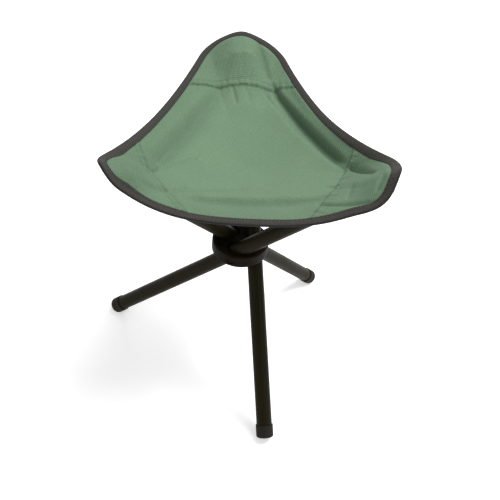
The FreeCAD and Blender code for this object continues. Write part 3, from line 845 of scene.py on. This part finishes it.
def tape_row(k, side):
    """The row of stitches that holds the tape, close to its inner border."""
    angles = half_of_corner(k, side, 260)
    here, inward = rim_line(angles)
    line = here + inward * (tape_width(angles) - TAPE_ROW_INSET)[:, None]
    path, n = over_cloth(line[:, 0], line[:, 1], CLOTH / 2 + TAPE_ROW_LIFT)
    name = piece_name("tape_thread", k, side)
    return stitches(name, path, n, TAPE_THREAD, length=2.3, gap=0.9, thick=0.26)


# ---------------------------------------------------------------- the corner pockets, under the cloth

# Its grid's reach across and out along a corner, and its gaps to the seat, the tube and the rim.
POCKET_HALF_WIDTH = 12.5
POCKET_FROM, POCKET_TO = 98.0, 148.0
POCKET_UNDER_CLOTH, POCKET_UNDER_TUBE, POCKET_INSIDE_RIM = 1.5, 1.4, 1.6

# Beyond the tube's end it rises to the seat over this way, and at the rim over a shorter one.
POCKET_END_GAP, POCKET_CLOSES, POCKET_RIM_CLOSES = 0.6, 6.0, 3.0

# Its section: flat for the first part of its half width, then round to its sides.
POCKET_FLAT, POCKET_SIDE = 2.0, 9.5
POCKET_CLOTH = 0.9
# The pocket, under the seat, gets an even painted shade: its cloth's colour is multiplied by this.
POCKET_SHADE = 0.92


def pocket(k):
    """The cloth tunnel under a corner: it wraps the tube's end and closes beyond it and at the rim."""
    across = np.linspace(-POCKET_HALF_WIDTH, POCKET_HALF_WIDTH, 41)
    along = np.linspace(max(SEAM_AT[k] - 3.0, POCKET_FROM), min(CORNER_REACH[k] + 4.0, POCKET_TO), 76)
    along, across = np.meshgrid(along, across, indexing="ij")
    rows, columns = along.shape
    across = across + (TIP_RADIUS - along) * math.tan(math.radians(90.0 - TIP_AZIMUTH))
    x, y = corner_point(k, along, across)
    limit = around(RIM_R, np.arctan2(y, x)) - POCKET_INSIDE_RIM
    beyond = np.hypot(x, y) - limit
    inside = np.minimum(1.0, limit / np.hypot(x, y))
    x, y = x * inside, y * inside
    run, aside = tube_frame(x, y, k)
    top = seat_height(x, y) - POCKET_UNDER_CLOTH
    end = TIP_RUN + TUBE_RADIUS * math.cos(TILT) + POCKET_END_GAP
    low = TUBE_TOP + np.minimum(run, end) * TUBE_RISE - 2 * TUBE_RADIUS / math.sin(TILT) - POCKET_UNDER_TUBE
    round_off = np.clip(np.abs(aside) - POCKET_FLAT, 0, None) / POCKET_SIDE
    wrap = np.sqrt(np.clip(1 - round_off ** 2, 0, 1))
    close = np.maximum(smooth((run - end) / POCKET_CLOSES), smooth(beyond / POCKET_RIM_CLOSES))
    hang = low + (top - low) * close
    z = np.minimum(top - (top - hang) * wrap ** 0.8, top)
    points = np.stack([x, y, z], axis=-1).reshape(-1, 3)
    uv = np.stack([along, across * 1.3], axis=-1).reshape(-1, 2) * MM
    faces = grid_faces(rows, columns, 0, True)
    obj = add_mesh("corner_pocket_cloth_" + LEGS[k], points, faces, CLOTH_MATERIAL, None, uv)
    store_painted_shade(obj, np.full(len(points), POCKET_SHADE))
    thick = obj.modifiers.new("thickness", "SOLIDIFY")
    thick.thickness = POCKET_CLOTH * MM
    thick.offset = 1.0
    return obj


# ---------------------------------------------------------------- build the pieces and let them ride

HALVES = [(k, side) for k in range(3) for side in (1, -1)]
seat_pieces, tape_pieces = [], []
for k, side in HALVES:
    seat_pieces.append((seat_half(k, side), k, side))
    tape_pieces.append((tape_half(k, side), k, side))
pockets = [pocket(k) for k in range(3)]
seam_threads = [(seam_row(k, side, number), k, side) for k, side in HALVES for number in range(2)]
tape_threads = [(tape_row(k, side), k, side) for k, side in HALVES]


def fold_with_corner(obj, k):
    """The piece gets a mesh of its own and turns with its corner's pocket."""
    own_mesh(obj)
    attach(obj, "pocket_" + LEGS[k])


for pieces, slot in (
    (seat_pieces, "seat_cloth"), (tape_pieces, "edge_tape"),
    (seam_threads, "seat_cloth"), (tape_threads, "edge_tape"),
):
    for piece, k, side in pieces:
        fold_with_corner(piece, k)
for k, piece in enumerate(pockets):
    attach(piece, "leg_" + LEGS[k])
    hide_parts("corner_pocket_" + LEGS[k])
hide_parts("seat_panel")
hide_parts("edge_tape_ab", "edge_tape_bc", "edge_tape_ca")

# ---------------------------------------------------------------- floor, camera and light

FLOOR_HALF = 6.0
corners = [(x * FLOOR_HALF, y * FLOOR_HALF, 0) for x, y in ((-1, -1), (1, -1), (1, 1), (-1, 1))]
floor_mesh = bpy.data.meshes.new("floor")
floor_mesh.from_pydata(corners, [], [(0, 1, 2, 3)])
floor = bpy.data.objects.new("floor", floor_mesh)
bpy.context.scene.collection.objects.link(floor)
floor_mesh.materials.append(new_material("floor_paper", (0.96, 0.96, 0.96), 0.9, Emission_Strength=0.45))

# The camera looks down at a point over the hub, turned about the hub's axis and rolled about its own.
VIEW_TURN = math.radians(-14.6)
ELEVATION = math.radians(43.82)
ROLL = math.radians(6.72)
DISTANCE = 0.7807
AIM = Vector((0.01083, 0.0, 0.14331))
SENSOR = 36.0
FOCAL_SHARE = 754.65 / 500.0

hub_at = Vector(HUB_AT * MM)
turn = Matrix.Rotation(VIEW_TURN, 3, "Z")
back = Vector((0, -math.cos(ELEVATION), math.sin(ELEVATION)))
right = Vector((1, 0, 0))
up = Vector((0, math.sin(ELEVATION), math.cos(ELEVATION)))
rolled_right = right * math.cos(ROLL) + up * math.sin(ROLL)
rolled_up = up * math.cos(ROLL) - right * math.sin(ROLL)
axes = Matrix((turn @ rolled_right, turn @ rolled_up, turn @ back)).transposed().to_4x4()
camera_data = bpy.data.cameras.new("camera")
camera_data.lens = SENSOR * FOCAL_SHARE
camera_data.sensor_width = SENSOR
camera_data.clip_start = 0.01
camera = bpy.data.objects.new("camera", camera_data)
camera.matrix_world = Matrix.Translation(hub_at + turn @ (AIM + back * DISTANCE)) @ axes
bpy.context.scene.collection.objects.link(camera)
bpy.context.scene.camera = camera

# Soft round lights that look at the hub: place as the camera's turn sees it, diameter and power.
LIGHTS = (
    ("key", (0.7, 0.35, 2.0), 1.3, 43.0),
    ("fill", (-1.3, -1.2, 1.3), 1.0, 4.0),
    ("edge", (1.2, -0.9, 0.7), 0.5, 2.0),
)
LIGHTS_AIM = Vector((0, 0, 0.15))
WORLD_STRENGTH = 0.4

for name, where, size, power in LIGHTS:
    data = bpy.data.lights.new(name, "AREA")
    data.shape = "DISK"
    data.size = size
    data.energy = power
    light = bpy.data.objects.new(name, data)
    light.location = hub_at + turn @ Vector(where)
    light.rotation_euler = (hub_at + LIGHTS_AIM - light.location).to_track_quat("-Z", "Y").to_euler()
    bpy.context.scene.collection.objects.link(light)
world = bpy.data.worlds.new("world")
world.use_nodes = True
world.node_tree.nodes["Background"].inputs[0].default_value = (1, 1, 1, 1)
world.node_tree.nodes["Background"].inputs[1].default_value = WORLD_STRENGTH
bpy.context.scene.world = world
bpy.context.scene.view_settings.view_transform = "Standard"

bpy.context.view_layer.update()
